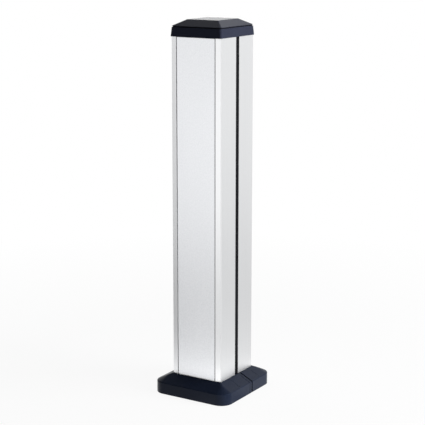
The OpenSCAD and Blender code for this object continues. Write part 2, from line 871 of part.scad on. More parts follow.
module earth_tabs() color([0.85, 0.75, 0.4]) {
    to_both_covers() earth_tab();
}

column_body();
front_cover();
rear_cover();
left_side_strip();
right_side_strip();
top_cap();
cap_carrier();
cap_carrier_screws();
base_cover_front();
base_cover_rear();
base_joint_brackets();
base_plate();
floor_pad();
column_screws();
cable_bush_front();
cable_bush_rear();
cable_clamp_front();
cable_clamp_rear();
clamp_screws();
earth_bolt();
earth_nut();
earth_washers();
earth_tabs();
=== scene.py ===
import math

import bmesh
import bpy
from mathutils import Matrix, Vector


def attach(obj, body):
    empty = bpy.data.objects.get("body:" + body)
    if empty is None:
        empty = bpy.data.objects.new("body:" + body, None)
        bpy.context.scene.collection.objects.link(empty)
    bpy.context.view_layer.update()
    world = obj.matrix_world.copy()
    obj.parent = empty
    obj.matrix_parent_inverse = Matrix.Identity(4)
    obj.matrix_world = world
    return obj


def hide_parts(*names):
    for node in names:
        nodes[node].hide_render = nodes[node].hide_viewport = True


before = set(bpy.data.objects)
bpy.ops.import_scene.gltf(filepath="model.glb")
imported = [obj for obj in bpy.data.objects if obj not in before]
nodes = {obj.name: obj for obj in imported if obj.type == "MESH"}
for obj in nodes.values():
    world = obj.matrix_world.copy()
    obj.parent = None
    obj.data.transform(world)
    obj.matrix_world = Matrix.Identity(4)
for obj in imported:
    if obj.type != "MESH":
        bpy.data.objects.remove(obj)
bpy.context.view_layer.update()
print("frame loaded:", len(nodes), "CAD nodes")

mm = 0.001

cameraPlan = {  # metres and degrees, the lens and the film in mm
    "azimuth": 32.134,  # from the front towards the right side
    "elevation": 12.214,
    "distance": 2.4317,
    "aimHeight": 0.3498,
    "across": -0.000371,  # how far the camera stands off its aiming line
    "up": -0.00795,
    "lens": 110.515,
    "film": 36,
    "farthest": 50,
}


def addCamera(plan):
    azimuth, elevation = math.radians(plan["azimuth"]), math.radians(plan["elevation"])
    level = math.cos(elevation)
    back = Vector((math.sin(azimuth) * level, -math.cos(azimuth) * level, math.sin(elevation)))
    right = Vector((math.cos(azimuth), math.sin(azimuth), 0))
    up = back.cross(right)
    data = bpy.data.cameras.new("camera")
    data.sensor_width = plan["film"]
    data.lens = plan["lens"]
    data.clip_end = plan["farthest"]
    camera = bpy.data.objects.new("camera", data)
    place = Vector((0, 0, plan["aimHeight"])) + back * plan["distance"]
    place += right * plan["across"] + up * plan["up"]
    turn = Matrix((right, up, back)).transposed().to_4x4()
    camera.matrix_world = Matrix.Translation(place) @ turn
    bpy.context.scene.collection.objects.link(camera)
    bpy.context.scene.camera = camera


addCamera(cameraPlan)
bpy.context.scene.view_settings.view_transform = "Standard"
print("camera placed")

white = (1, 1, 1, 1)
edgeStops = [(0.8, 1), (0.985, 0)]  # by how well the rounded normal agrees with the true one
nookStops = [(0.25, 1), (0.85, 0)]  # by how open the surface lies


def grey(level):
    return level, level, level, 1


class Wire:  # one output socket; sums on it add Math nodes
    def __init__(self, paint, socket):
        self.paint = paint
        self.socket = socket

    def calc(self, how, first, second):
        return self.paint.add("ShaderNodeMath", {"operation": how}, {0: first, 1: second})

    def __add__(self, other):
        return self.calc("ADD", self, other)

    def __radd__(self, other):
        return self.calc("ADD", other, self)

    def __sub__(self, other):
        return self.calc("SUBTRACT", self, other)

    def __rsub__(self, other):
        return self.calc("SUBTRACT", other, self)

    def __mul__(self, other):
        return self.calc("MULTIPLY", self, other)

    def __rmul__(self, other):
        return self.calc("MULTIPLY", other, self)

    def __truediv__(self, other):
        return self.calc("DIVIDE", self, other)

    def __rtruediv__(self, other):
        return self.calc("DIVIDE", other, self)


class Paint:  # one node tree and the ways to fill it
    def __init__(self, tree):
        self.tree = tree
        tree.nodes.clear()

    def add(self, kind, settings=None, sockets=None, out=0):
        node = self.tree.nodes.new(kind)
        for key, value in (settings or {}).items():
            if key == "stops":
                self.setStops(node.color_ramp, value)
            else:
                setattr(node, key, value)
        for key, value in (sockets or {}).items():
            self.join(node.inputs[key], value)
        return Wire(self, node.outputs[out]) if len(node.outputs) else None

    def join(self, entry, value):
        if isinstance(value, Wire):
            self.tree.links.new(value.socket, entry)
        else:
            entry.default_value = value

    def setStops(self, ramp, stops):  # pairs of a place and a grey level
        while len(ramp.elements) < len(stops):
            ramp.elements.new(0.5)
        for element, (place, level) in zip(ramp.elements, stops):
            element.position = place
            element.color = grey(level)

    def place(self):  # the surface point, in metres, in the model's own frame
        return self.add("ShaderNodeTexCoord", out="Object")

    def stretch(self, vector, scale):
        return self.add("ShaderNodeVectorMath", {"operation": "MULTIPLY"}, {0: vector, 1: scale})

    def along(self, vector, direction):  # how far a vector points along a direction
        return self.add("ShaderNodeVectorMath", {"operation": "DOT_PRODUCT"},
                        {0: vector, 1: direction}, out="Value")

    def noise(self, vector, scale, detail=2.0, rough=0.5):
        return self.add("ShaderNodeTexNoise", sockets={
            "Vector": vector, "Scale": scale, "Detail": detail, "Roughness": rough,
        })

    def ramp(self, value, stops):
        return self.add("ShaderNodeValToRGB", {"stops": stops}, {0: value})

    def blend(self, factor, first, second):  # 6 and 7 are the node's two colours, 2 is the blended one
        return self.add("ShaderNodeMix", {"data_type": "RGBA"}, {0: factor, 6: first, 7: second}, out=2)

    def layer(self, factor, under, over):  # two shaders, one over the other
        return self.add("ShaderNodeMixShader", sockets={0: factor, 1: under, 2: over})

    def softNormal(self, radius):
        return self.add("ShaderNodeBevel", {"samples": 4}, {"Radius": radius})

    def edges(self, radius):  # 1 on sharp outer and inner edges, 0 on flats
        rounded = self.softNormal(radius)
        normal = self.add("ShaderNodeNewGeometry", out="Normal")
        return self.ramp(self.along(rounded, normal), edgeStops)

    def nooks(self, reach):  # 1 deep in a groove, 0 in the open
        openness = self.add("ShaderNodeAmbientOcclusion", {"samples": 8}, {"Distance": reach}, out="AO")
        return self.ramp(openness, nookStops)

    def bump(self, height, look):  # relief on the softened edges
        return self.add("ShaderNodeBump", sockets={
            "Height": height, "Distance": look["relief"], "Strength": look["strength"],
            "Normal": self.softNormal(look["edge"]),
        })

    def finish(self, sockets):
        shader = self.add("ShaderNodeBsdfPrincipled", sockets=sockets)
        self.add("ShaderNodeOutputMaterial", sockets={"Surface": shader})

    def raysSeen(self, kinds):  # 1 for rays of any of these kinds
        total = 0
        for kind in kinds:
            total = total + self.add("ShaderNodeLightPath", out=kind)
        return total


def newPaint(name):
    material = bpy.data.materials.new(name)
    material.use_nodes = True
    return material, Paint(material.node_tree)


# lengths in the looks are in metres, and a noise's scale is about its patches in one metre
anodisedBase = {  # what both anodised profiles share
    "drawnDetail": 3, "grainDetail": 2, "grainRough": 0.6,
    "broadScale": 9, "broadStretch": (1, 1, 0.35), "broadShare": 0.15,
    "tone": [(0.32, 0), (0.68, 1)],
    "bare": (0.93, 0.93, 0.935, 1), "bareShare": 0.35,  # metal that shows on a worn edge
    "drawnSpread": 0.08, "edgePolish": 0.06,
    "edge": 0.0004,
}


def anodised(name, changes):
    look = {**anodisedBase, **changes}
    material, p = newPaint(name)
    place = p.place()
    drawLines = (look["lines"], look["lines"], look["along"])
    drawn = p.noise(p.stretch(place, drawLines), 1, look["drawnDetail"])
    grain = p.noise(place, look["grain"], look["grainDetail"], look["grainRough"])
    broad = p.noise(p.stretch(place, look["broadStretch"]), look["broadScale"])
    texture = look["drawnShare"] * drawn + (1 - look["drawnShare"]) * grain
    shade = (1 - look["broadShare"]) * texture + look["broadShare"] * broad
    colour = p.blend(p.ramp(shade, look["tone"]), look["dark"], look["pale"])
    worn = p.edges(look["edge"])
    colour = p.blend(worn * look["bareShare"], colour, look["bare"])
    # painted shade: the colour is darkened in grooves and gaps, where shade falls, by ambient occlusion
    colour = p.blend(p.nooks(look["nook"]) * look["nookShade"], colour, look["nookShadeColour"])
    rough = look["rough"] + look["grainSpread"] * (grain - 0.5)
    rough = rough + look["drawnSpread"] * (drawn - 0.5) - look["edgePolish"] * worn
    rough = rough + p.nooks(look["mattReach"]) * look["matt"]  # the oxide in a gap is matt
    p.finish({
        "Base Color": colour,
        "Metallic": 1,
        "Roughness": rough,
        "Normal": p.bump(texture, look),
    })
    return material


mouldedBase = {  # what the moulded pieces share
    "sparkDetail": 2, "sparkRough": 0.65,
    "fineScale": 2.6, "fineDetail": 1, "fineShare": 0.3,  # a second grain, finer than the first
    "broadScale": 14, "broadDetail": 3, "broadRough": 0.55, "tone": [(0.3, 0), (0.7, 1)],
    "scuffScale": 60, "scuffDetail": 5, "scuffRough": 0.7, "scuffStretch": (1, 1, 1.8),
    "scuffStops": [(0.56, 0), (0.74, 1)],
    "edgeRub": 0.3, "scuffRub": 0.5,  # how far an edge is rubbed pale, and how much more by a scuff
    # the nook values on the next line paint shade into grooves and gaps
    "wear": 0.5, "nook": 0.002, "nookShade": 0.8, "nookShadeColour": (0.002, 0.002, 0.003, 1),
    "broadSpread": 0.10, "sparkSpread": 0.10, "scuffSpread": 0.04, "edgePolish": 0.05,
    "edge": 0.0004, "relief": 0.00004, "strength": 0.35,
}


def moulded(name, changes):
    look = {**mouldedBase, **changes}
    material, p = newPaint(name)
    place = p.place()
    spark = p.noise(place, look["grain"], look["sparkDetail"], look["sparkRough"])
    fine = p.noise(place, look["grain"] * look["fineScale"], look["fineDetail"])
    broad = p.noise(place, look["broadScale"], look["broadDetail"], look["broadRough"])
    worn = p.edges(look["edge"])
    stretched = p.stretch(place, look["scuffStretch"])
    patches = p.noise(stretched, look["scuffScale"], look["scuffDetail"], look["scuffRough"])
    scuffs = p.ramp(patches, look["scuffStops"])
    shade = p.blend(p.ramp(broad, look["tone"]), look["dark"], look["pale"])
    rub = worn * (look["edgeRub"] + look["scuffRub"] * scuffs) * look["wear"]
    shade = p.blend(rub, shade, look["rubbed"])
    # painted shade: the colour is darkened in grooves and gaps, where shade falls, by ambient occlusion
    shade = p.blend(p.nooks(look["nook"]) * look["nookShade"], shade, look["nookShadeColour"])
    rough = look["rough"] + look["broadSpread"] * (broad - 0.5) + look["sparkSpread"] * (spark - 0.5)
    rough = rough + look["scuffSpread"] * scuffs - look["edgePolish"] * worn
    height = (1 - look["fineShare"]) * spark + look["fineShare"] * fine
    p.finish({
        "Base Color": shade,
        "Roughness": rough,
        "Specular IOR Level": look["gloss"],
        "Normal": p.bump(height, look),
    })
    return material


metalBase = {  # what the plated and tinned pieces share
    "mottleDetail": 3, "mottleRough": 0.6, "streakShare": 0.4, "tone": [(0.32, 0), (0.68, 1)],
    # the nook values on the next line paint shade into grooves and gaps
    "bareShare": 0.5, "nook": 0.0015, "nookShade": 0.7, "nookShadeColour": (0.06, 0.055, 0.05, 1),
    "mottleSpread": 0.14, "streakSpread": 0.08, "edgePolish": 0.06,
    "edge": 0.0002, "relief": 0.00001, "strength": 0.35,
}


def metalPart(name, changes):
    look = {**metalBase, **changes}
    material, p = newPaint(name)
    place = p.place()
    mottled = p.noise(place, look["grain"], look["mottleDetail"], look["mottleRough"])
    streaks = p.noise(p.stretch(place, look["streaks"]), 1)
    texture = (1 - look["streakShare"]) * mottled + look["streakShare"] * streaks
    worn = p.edges(look["edge"])
    colour = p.blend(p.ramp(texture, look["tone"]), look["dark"], look["pale"])
    colour = p.blend(worn * look["bareShare"], colour, look["bare"])
    # painted shade: the colour is darkened in grooves and gaps, where shade falls, by ambient occlusion
    colour = p.blend(p.nooks(look["nook"]) * look["nookShade"], colour, look["nookShadeColour"])
    rough = look["rough"] + look["mottleSpread"] * (mottled - 0.5)
    rough = rough + look["streakSpread"] * (streaks - 0.5) - look["edgePolish"] * worn
    p.finish({
        "Base Color": colour,
        "Metallic": 1,
        "Roughness": rough,
        "Normal": p.bump(mottled, look),
    })
    return material


columnFinish = anodised("column_aluminium", {
    "lines": 1100, "along": 6, "grain": 600, "drawnShare": 0.5,
    "dark": (0.83, 0.84, 0.85, 1), "pale": (0.89, 0.895, 0.905, 1),
    "nook": 0.0006, "nookShade": 0.28, "nookShadeColour": (0.10, 0.10, 0.11, 1),
    "rough": 0.36, "grainSpread": 0.12, "mattReach": 0.003, "matt": 0.7,
    "relief": 0.00004, "strength": 0.4,
})
coverFinish = anodised("cover_aluminium", {
    "lines": 900, "along": 14, "grain": 430, "drawnShare": 0.22,
    "dark": (0.80, 0.812, 0.835, 1), "pale": (0.905, 0.915, 0.935, 1),
    # the nook values here paint shade into the grooves beside the cover
    "nook": 0.004, "nookShade": 1.7, "nookShadeColour": (0.02, 0.02, 0.022, 1),
    "rough": 0.38, "grainSpread": 0.2, "mattReach": 0.001, "matt": 0.1,
    "relief": 0.00008, "strength": 0.6,
})
capFinish = moulded("cap_black", {
    "dark": (0.022, 0.025, 0.042, 1), "pale": (0.027, 0.031, 0.050, 1),
    "rubbed": (0.09, 0.095, 0.11, 1),
    # the nook values here paint a dark shade line into the groove under the cap's slope
    "grain": 2600, "rough": 0.33, "gloss": 0.022, "edge": 0.0005, "nook": 0.004, "nookShade": 1.8,
})
baseFinish = moulded("base_black", {
    "dark": (0.008, 0.012, 0.025, 1), "pale": (0.010, 0.015, 0.031, 1),
    "rubbed": (0.08, 0.085, 0.10, 1),
    "grain": 2200, "rough": 0.33, "gloss": 0.085, "edge": 0.0005, "wear": 0.6,
})
stripFinish = moulded("strip_black", {
    "dark": (0.0035, 0.0035, 0.0045, 1), "pale": (0.006, 0.006, 0.0075, 1),
    "rubbed": (0.02, 0.02, 0.024, 1),
    "grain": 1800, "rough": 0.55, "gloss": 0.03, "edge": 0.0003, "wear": 0.2, "nook": 0.001,
    "relief": 0.00003, "strength": 0.3,
})
carrierFinish = moulded("carrier_grey", {
    "dark": (0.055, 0.056, 0.06, 1), "pale": (0.075, 0.076, 0.08, 1), "rubbed": (0.2, 0.2, 0.21, 1),
    "grain": 1800, "rough": 0.5, "gloss": 0.4,
})
clampFinish = moulded("clamp_grey", {
    "dark": (0.04, 0.041, 0.045, 1), "pale": (0.06, 0.061, 0.065, 1), "rubbed": (0.2, 0.2, 0.21, 1),
    "grain": 1800, "rough": 0.5, "gloss": 0.4,
})
bushFinish = moulded("bush_black", {
    "dark": (0.01, 0.01, 0.011, 1), "pale": (0.018, 0.018, 0.019, 1), "rubbed": (0.06, 0.06, 0.06, 1),
    "grain": 1500, "rough": 0.6, "gloss": 0.3, "edge": 0.0003, "wear": 0.3, "strength": 0.4,
})
padFinish = moulded("pad_rubber", {
    "dark": (0.012, 0.012, 0.012, 1), "pale": (0.024, 0.024, 0.023, 1),
    "rubbed": (0.08, 0.08, 0.078, 1),
    "grain": 1200, "rough": 0.75, "gloss": 0.25, "edge": 0.0003, "wear": 0.6,
    "relief": 0.00008, "strength": 0.6,
})
plateFinish = metalPart("plate_steel", {
    "dark": (0.46, 0.47, 0.48, 1), "pale": (0.62, 0.63, 0.63, 1), "bare": (0.7, 0.7, 0.69, 1),
    "grain": 260, "streaks": (60, 900, 60), "rough": 0.36, "edge": 0.0004, "relief": 0.00002,
})
screwFinish = metalPart("screw_steel", {
    "dark": (0.5, 0.5, 0.5, 1), "pale": (0.68, 0.68, 0.67, 1), "bare": (0.76, 0.76, 0.75, 1),
    "grain": 900, "streaks": (300, 300, 1800), "rough": 0.27,
})
tabFinish = metalPart("tab_brass", {
    "dark": (0.62, 0.47, 0.2, 1), "pale": (0.76, 0.6, 0.3, 1), "bare": (0.85, 0.72, 0.42, 1),
    "grain": 500, "streaks": (200, 200, 1200), "rough": 0.3,
})

nodeFinish = {
    "column_body": columnFinish,
    "front_cover": coverFinish, "rear_cover": coverFinish,
    "left_side_strip": stripFinish, "right_side_strip": stripFinish,
    "top_cap": capFinish,
    "cap_carrier": carrierFinish,
    "base_cover_front": baseFinish, "base_cover_rear": baseFinish,
    "base_plate": plateFinish, "base_joint_brackets": plateFinish,
    "floor_pad": padFinish,
    "cable_bush_front": bushFinish, "cable_bush_rear": bushFinish,
    "cable_clamp_front": clampFinish, "cable_clamp_rear": clampFinish,
    "cap_carrier_screws": screwFinish, "column_screws": screwFinish, "clamp_screws": screwFinish,
    "earth_bolt": screwFinish, "earth_nut": screwFinish, "earth_washers": screwFinish,
    "earth_tabs": tabFinish,
}
for name, finish in nodeFinish.items():
    for materialSlot in nodes[name].material_slots:
        materialSlot.material = finish
print("finishes made:", len(set(nodeFinish.values())))

# all sizes of the pieces below are in mm
weldDistance = 0.000004  # in metres: points closer than this become one


def skinGrid(form, rows, wrapRows=False, wrapColumns=False):  # faces over a grid of points
    grid = [[form.verts.new(Vector(point) * mm) for point in row] for row in rows]
    rowCount, columnCount = len(grid), len(grid[0])
    for i in range(rowCount if wrapRows else rowCount - 1):
        for j in range(columnCount if wrapColumns else columnCount - 1):
            near, far = grid[i], grid[(i + 1) % rowCount]
            k = (j + 1) % columnCount
            form.faces.new((near[j], near[k], far[k], far[j]))
    return grid


def closedSkin(form, rings):  # a skin over rings, with a face across each end
    grid = skinGrid(form, rings, wrapColumns=True)
    form.faces.new(grid[0])
    form.faces.new(grid[-1])


def prism(form, outline, place):  # an outline drawn from place(point, 0) to place(point, 1)
    closedSkin(form, [[place(point, share) for point in outline] for share in (0, 1)])


def softened(path, sizes, steps=5):  # rounds the inner points of a path by the given sizes
    path = [Vector(point) for point in path]
    out = [path[0]]
    for i, size in enumerate(sizes, 1):
        before, here, after = path[i - 1], path[i], path[i + 1]
        start = here + (before - here) * (size / (before - here).length)
        end = here + (after - here) * (size / (after - here).length)
        for k in range(steps + 1):
            t = k / steps
            out.append(start * (1 - t) ** 2 + here * 2 * t * (1 - t) + end * t ** 2)
    return out + [path[-1]]


def addPiece(name, form, body, node, finish, crease=38):  # edges over crease degrees are sharp
    bmesh.ops.remove_doubles(form, verts=form.verts, dist=weldDistance)
    bmesh.ops.recalc_face_normals(form, faces=form.faces)
    mesh = bpy.data.meshes.new(name)
    form.to_mesh(mesh)
    form.free()
    mesh.polygons.foreach_set("use_smooth", [True] * len(mesh.polygons))
    mesh.set_sharp_from_angle(angle=math.radians(crease))
    mesh.materials.append(finish)
    piece = bpy.data.objects.new(name, mesh)
    bpy.context.scene.collection.objects.link(piece)
    even = piece.modifiers.new("even_normals", "WEIGHTED_NORMAL")
    even.keep_sharp = True
    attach(piece, body)
    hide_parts(node)


capPlan = {
    "foot": 670, "height": 30, "wallHeight": 19, "wall": 2.4,
    "halfWidth": 54.2, "halfDepth": 58.7, "cornerRadius": 4, "arcSteps": 10,
    "draft": 1.6,  # how far the wall leans in at its top
    "flatHalfWidth": 33, "flatHalfDepth": 35, "flatRadius": 2, "flatInset": 8,
    "edge": 0.9, "lip": 0.4, "crest": 0.2, "grooveEdge": 0.1,  # how much of each edge is rounded away
    "grooveBelow": 0.4, "grooveWidth": 2.0, "grooveDepth": 1.6, "grooveFall": 0.05,
    "tongueAcross": 20, "tongueOut": 45, "tongueWidth": 10, "tongueThick": 1.8, "tongueDrop": 3,
    "tip": 0.5, "bead": 1.0, "beadDrop": 1.5, "beadTurn": 72, "beadSteps": 8,  # the turn in degrees
    "ribUp": 6, "sunk": 0.2, "ribSunk": 0.3,  # how far the tongues and ribs reach into what carries them
}


def roundedRing(halfX, halfY, radius, z, steps):
    points = []
    for quarter, (sx, sy) in enumerate(((1, 1), (-1, 1), (-1, -1), (1, -1))):
        for k in range(steps + 1):
            angle = math.pi / 2 * (quarter + k / steps)
            points.append((sx * (halfX - radius) + radius * math.cos(angle),
                           sy * (halfY - radius) + radius * math.sin(angle), z))
    return points


def makeCap(plan):
    halfX, halfY, wall = plan["halfWidth"], plan["halfDepth"], plan["wall"]
    foot, lean = plan["foot"], plan["draft"]
    wallTop, top = foot + plan["wallHeight"], foot + plan["height"]
    pitch = (top - wallTop) / (halfY - lean - plan["flatHalfDepth"])
    stretch = math.sqrt(1 + pitch ** 2)
    deep, fall = plan["grooveDepth"], plan["grooveFall"]
    high = wallTop - plan["grooveBelow"]
    low = high - plan["grooveWidth"]
    lowIn, highIn = (lean * (z - foot) / plan["wallHeight"] for z in (low, high))

    def side(inward, lessRound, z):  # half width, half depth, corner radius and height
        return halfX - inward, halfY - inward, plan["cornerRadius"] - lessRound, z

    def flat(inset, z):
        return plan["flatHalfWidth"] - inset, plan["flatHalfDepth"] - inset, plan["flatRadius"], z

    path = [  # from the middle of the inner roof down and round the foot to the flat top
        flat(plan["flatInset"], top - wall),
        flat(0, top - wall),
        side(lean + wall, wall, wallTop - wall * (stretch - pitch)),
        side(wall, wall, foot),
        side(0, 0, foot),
        side(lowIn, 0, low),
        side(lowIn + deep, deep, low + fall),
        side(highIn + deep, deep, high - fall),
        side(highIn, 0, high),
        side(lean, 0, wallTop),
        flat(0, top),
        flat(plan["flatInset"], top),
    ]
    edge, lip, grooveEdge = plan["edge"], plan["lip"], plan["grooveEdge"]
    rings = softened(path, [edge, edge, lip, lip] + [grooveEdge] * 4 + [plan["crest"], edge])
    form = bmesh.new()
    closedSkin(form, [roundedRing(*ring, plan["arcSteps"]) for ring in rings])

    def roof(y):  # height of the inner roof on the side of a cover
        return wallTop + pitch * (halfY - lean - y) - wall * stretch

    near, far, wallIn = plan["tongueOut"], plan["tongueOut"] + plan["tongueThick"], halfY - wall
    bead, tip, sunk = plan["bead"], plan["tip"], plan["sunk"]
    hook, beadMiddle = foot - plan["tongueDrop"], foot - plan["beadDrop"]
    tongue = [(near, roof(near) + sunk), (near, hook + tip), (near + tip, hook), (far - tip, hook)]
    for k in range(plan["beadSteps"] + 1):
        angle = math.radians(plan["beadTurn"] * (2 * k / plan["beadSteps"] - 1))
        tongue.append((far + bead * math.cos(angle), beadMiddle + bead * math.sin(angle)))
    tongue.append((far, roof(far) + sunk))
    ribFoot = foot + plan["ribUp"]
    rib = [(far - sunk, ribFoot), (wallIn, ribFoot), (wallIn, roof(wallIn) + sunk),
           (far - sunk, roof(far) + plan["ribSunk"])]

    def across(middle, half, sy):  # draws an outline of y and z across a tongue's width
        return lambda point, share: (middle + half * (2 * share - 1), sy * point[0], point[1])

    for sx in (-1, 1):
        for sy in (-1, 1):
            middle = sx * plan["tongueAcross"]
            prism(form, tongue, across(middle, plan["tongueWidth"] / 2, sy))
            prism(form, rib, across(middle, plan["tongueThick"] / 2, sy))
    addPiece("cap_shell", form, "cap", "top_cap", capFinish)


makeCap(capPlan)
print("cap made")

basePlan = {
    "halfWidth": 81, "halfDepth": 85.5, "cornerRadius": 23, "cornerSteps": 16,
    "height": 35, "wallHeight": 22, "wall": 2.4, "edge": 2.0, "edgeSteps": 8,
    "footLip": 0.4, "footCut": 0.7, "innerBevel": 0.6, "slopeRows": (8, 14),
    "gap": 0.4, "rim": 0.8, "rimEdge": 0.8,
    "columnHalfWidth": 53, "columnHalfDepth": 57.5, "columnRadius": 2,
    "flangeStart": 41.75, "flangeFall": 2,
    "split": 11.5, "splitGap": 0.1, "step": 1.5, "stepDeep": 1.9, "stepFall": 0.05,
    "lip": 8, "lineWidth": 0.9, "lineDepth": 0.7,
    "soft": 0.15, "softShare": 0.15,  # the eased edge of a line: its width, and how deep it is cut there
    "panelMiddle": 5.5, "panelLength": 71, "panelDepth": 0.3,
    "panelStart": 2.4, "panelEnd": 0.2, "panelFromColumn": 7,
    "ribThick": 1.6, "ribHeight": 16, "ribSeat": 0.3, "ribSunk": 0.2, "ribBevel": (0.8, 1),
    "plateMargin": 2.6, "crease": 30,
}


def addPlateRibs(form, side, plan):  # ribs inside the wall that keep the half off the plate's edge
    halfX, halfY, corner = plan["halfWidth"], plan["halfDepth"], plan["cornerRadius"]
    wall, seat, thick = plan["wall"], plan["ribSeat"], plan["ribThick"] / 2
    reach, top = plan["plateMargin"] - seat, seat + plan["ribHeight"]
    root, (bevelIn, bevelDown) = reach + plan["ribSunk"], plan["ribBevel"]
    outline = [(0, seat), (root, seat), (root, top), (bevelIn, top), (0, top - bevelDown)]

    def ribPoint(start, way, sx):  # draws the outline from a starting point towards the wall
        def place(point, share):
            spot = start + way * point[0] + Vector((-way.y, way.x)) * thick * (2 * share - 1)
            return sx * spot.x, -side * spot.y, point[1]
        return place

    outward, diagonal = Vector((0, -1)), Vector((math.sqrt(0.5), -math.sqrt(0.5)))
    frontStart = Vector((halfX / 2, wall + reach - halfY))
    cornerStart = Vector((halfX - corner, corner - halfY)) + diagonal * (corner - wall - reach)
    for start, way in ((frontStart, outward), (cornerStart, diagonal)):
        for sx in (1, -1):
            prism(form, outline, ribPoint(start, way, sx))


def makeBaseHalf(name, node, body, side, scored, plan):  # side: -1 for the front half, 1 for the rear
    halfX, halfY, wall = plan["halfWidth"], plan["halfDepth"], plan["wall"]
    reach = halfX - plan["columnHalfWidth"]
    run = reach - plan["gap"] - plan["rim"]
    tilt = math.atan((plan["height"] - plan["wallHeight"]) / run)
    leastRadius = plan["columnRadius"] + plan["gap"] + plan["rim"]
    end = -side * plan["split"] - plan["splitGap"] / 2  # drawn towards -Y, mirrored for the rear half
    panel = -side * plan["panelMiddle"] - plan["panelLength"] / 2

    def slopeHeight(inward, depth=0.0):
        return plan["wallHeight"] + inward * math.tan(tilt) - depth / math.cos(tilt)

    # outer line from the floor to the rim: how far in, how high, the way a groove cuts, and what cuts it
    footLip, footCut, edge = plan["footLip"], plan["footCut"], plan["edge"]
    turn = math.pi / 2 - tilt
    low = plan["wallHeight"] - edge * math.tan(turn / 2)
    outer = [(footLip, 0, (footCut, footCut), "wall"), (0, footLip, (1, 0), "wall"),
             (0, (low + footLip) / 2, (1, 0), "wall")]
    for k in range(plan["edgeSteps"] + 1):
        angle = turn * k / plan["edgeSteps"]
        outer.append((edge * (1 - math.cos(angle)), low + edge * math.sin(angle),
                      (math.cos(angle), -math.sin(angle)), "wall"))
    slopeCut = (math.sin(tilt), -math.cos(tilt))
    lowRow, highRow = plan["slopeRows"]
    panelStart, panelStop = plan["panelStart"], reach - plan["panelFromColumn"]
    for inward, kind in ((panelStart, "wall"), (panelStart + plan["panelEnd"], "panel"),
                         (lowRow, "panel"), (highRow, "panel"),
                         (panelStop - plan["panelEnd"], "panel"), (panelStop, "wall"),
                         (run - plan["rimEdge"], "wall")):
        outer.append((inward, slopeHeight(inward), slopeCut, kind))
    outer.append((run, plan["height"], slopeCut, "wall"))
    rimFoot, bevel = slopeHeight(run, wall), plan["innerBevel"]
    inner = [(run, rimFoot), (highRow, slopeHeight(highRow, wall)),
             (wall + bevel, slopeHeight(wall + bevel, wall)), (wall, slopeHeight(wall, wall) - bevel),
             (wall, footLip), (wall - footLip, 0)]

    fall = plan["flangeFall"] / (plan["columnHalfWidth"] - plan["flangeStart"])
    stretch = math.sqrt(1 + fall ** 2)
    cornerX = plan["columnHalfWidth"] - plan["columnRadius"]
    cornerY = fall * (cornerX - plan["flangeStart"]) - plan["columnHalfDepth"]
    cornerY += plan["columnRadius"] * stretch
    grown = plan["columnRadius"] + plan["gap"]

    def planPoint(station, inward):  # a point round the half, that far in from its wall
        kind, value = station
        if kind == "side":
            return halfX - inward, value
        if kind == "front":
            return value, inward - halfY
        radius = max(plan["cornerRadius"] - inward, leastRadius)
        return (halfX - inward - radius + radius * math.cos(value),
                inward + radius - halfY + radius * math.sin(value))

    def rimPoint(station):  # the same on the line where the half meets the column
        kind, value = station
        if kind == "side":
            return plan["columnHalfWidth"] + plan["gap"], value
        if kind == "front":
            return value, -plan["columnHalfDepth"] - plan["gap"] * stretch
        angle = max(value, math.atan(fall) - math.pi / 2)
        return cornerX + grown * math.cos(angle), cornerY + grown * math.sin(angle)

    # stations on the +X side from the split to the middle of the front, with the depths cut there
    step, sunk, stepEnd = plan["step"], plan["stepDeep"], plan["step"] + plan["stepFall"]
    line, soft, softShare = plan["lineWidth"] / 2, plan["soft"], plan["softShare"]
    splitCut = ((0, sunk + soft), (soft, sunk), (step, sunk), (stepEnd, soft), (stepEnd + soft, 0))
    stations = [(("side", end - back), depth, depth) for back, depth in splitCut]
    scores = [(end - plan["lip"], plan["lineDepth"], plan["lineDepth"])] if scored else []
    scores.append((panel, 0, plan["panelDepth"]))
    lineCut = ((line + soft, 0), (line, softShare), (line - soft, 1),
               (soft - line, 1), (-line, softShare), (-line - soft, 0))
    for middle, wallDepth, panelDepth in scores:
        for shift, share in lineCut:
            stations.append((("side", middle + shift), wallDepth * share, panelDepth * share))
    steps = plan["cornerSteps"]
    stations += [(("corner", -math.pi / 2 * k / steps), 0, 0) for k in range(steps + 1)]
    stations += [(("front", plan["flangeStart"]), 0, 0), (("front", 0), 0, 0)]

    def row(station, wallDepth, panelDepth, sx):
        points = []
        for inward, z, (cutIn, cutUp), kind in outer:
            depth = panelDepth if kind == "panel" else wallDepth
            points.append((*planPoint(station, inward + depth * cutIn), max(z + depth * cutUp, 0)))
        points += [(*rimPoint(station), plan["height"] - wallDepth), (*rimPoint(station), rimFoot)]
        points += [(*planPoint(station, inward), z) for inward, z in inner]
        return [(sx * x, -side * y, z) for x, y, z in points]

    form = bmesh.new()
    for sx in (1, -1):
        grid = skinGrid(form, [row(*station, sx) for station in stations], wrapColumns=True)
        form.faces.new(grid[0])
    addPlateRibs(form, side, plan)
    addPiece(name, form, body, node, baseFinish, plan["crease"])


makeBaseHalf("base_half_front", "base_cover_front", "base_front", -1, True, basePlan)
makeBaseHalf("base_half_rear", "base_cover_rear", "base_rear", 1, False, basePlan)
print("base halves made")

threadPlan = {
    "steps": 28, "perTurn": 7,  # points round a ring, and rings in one turn
    "point": 0.72,  # how thick the pointed end is, as a share of the rest
    "flat": 0.25,  # a larger one widens the flat at the thread's root
}


def circleSteps(count):
    return [2 * math.pi * k / count for k in range(count)]


